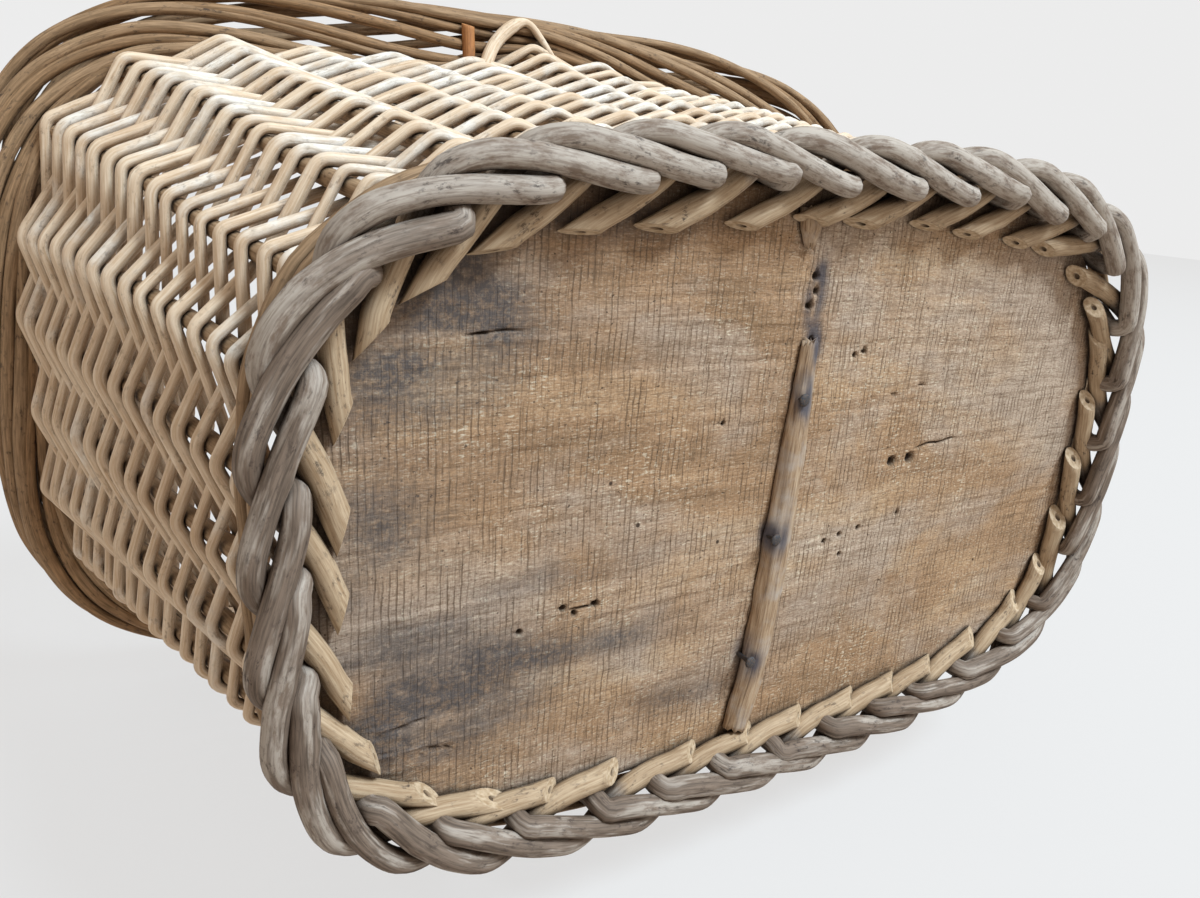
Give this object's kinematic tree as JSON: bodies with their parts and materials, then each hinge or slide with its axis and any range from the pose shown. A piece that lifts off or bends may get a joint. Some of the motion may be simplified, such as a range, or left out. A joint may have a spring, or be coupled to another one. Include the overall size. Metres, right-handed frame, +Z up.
{
  "type": "woven fruit basket",
  "caption": "Flared rectangular willow basket with rounded corners, open at the top, woven walls, plaited borders at foot and rim, and a plank base.",
  "frame": {"origin": "bottom centre: on the ground, under the middle of the rim border", "axes": "+X along the basket's length, +Y across its width away from the side with the handle remains, +Z up towards the open top"},
  "size_m": [0.4672, 0.2988, 0.231],
  "materials": {
    "board_wood": "rough-sawn and weathered, unfinished",
    "weathered_willow": "grey weathered bark-free willow",
    "rim_willow": "brown willow, dull",
    "stake_willow": "buff willow, dull",
    "weaver_willow": "white peeled willow, slight sheen",
    "split_rod": "split willow rod, dull",
    "iron_nail": "dark oxidised iron"
  },
  "bodies": {
    "root": {"base_board": "board_wood", "foot_border": "weathered_willow", "batten": "split_rod", "batten_stub": "split_rod", "nail_1": "iron_nail", "nail_2": "iron_nail", "nail_3": "iron_nail", "stake_01": "stake_willow", "stake_02": "stake_willow", "stake_03": "stake_willow", "stake_04": "stake_willow", "stake_05": "stake_willow", "stake_06": "stake_willow", "stake_07": "stake_willow", "stake_08": "stake_willow", "stake_09": "stake_willow", "stake_10": "stake_willow", "stake_11": "stake_willow", "stake_12": "stake_willow", "stake_13": "stake_willow", "stake_14": "stake_willow", "stake_15": "stake_willow", "stake_16": "stake_willow", "stake_17": "stake_willow", "stake_18": "stake_willow", "stake_19": "stake_willow", "stake_20": "stake_willow", "stake_21": "stake_willow", "stake_22": "stake_willow", "stake_23": "stake_willow", "stake_24": "stake_willow", "stake_25": "stake_willow", "stake_26": "stake_willow", "stake_27": "stake_willow", "stake_28": "stake_willow", "stake_29": "stake_willow", "stake_30": "stake_willow", "stake_31": "stake_willow", "stake_32": "stake_willow", "stake_33": "stake_willow", "stake_34": "stake_willow", "stake_35": "stake_willow", "stake_36": "stake_willow", "weave_band_01": "weaver_willow", "weave_band_02": "weaver_willow", "weave_band_03": "weaver_willow", "weave_band_04": "weaver_willow", "weave_band_05": "weaver_willow", "weave_band_06": "weaver_willow", "weave_band_07": "weaver_willow", "weave_band_08": "weaver_willow", "weave_band_09": "weaver_willow", "weave_band_10": "weaver_willow", "weave_band_11": "weaver_willow", "weave_band_12": "weaver_willow", "weave_band_13": "weaver_willow", "rim_border": "rim_willow", "handle_peg": "rim_willow", "handle_loop": "weaver_willow"}
  },
  "joints": []
}
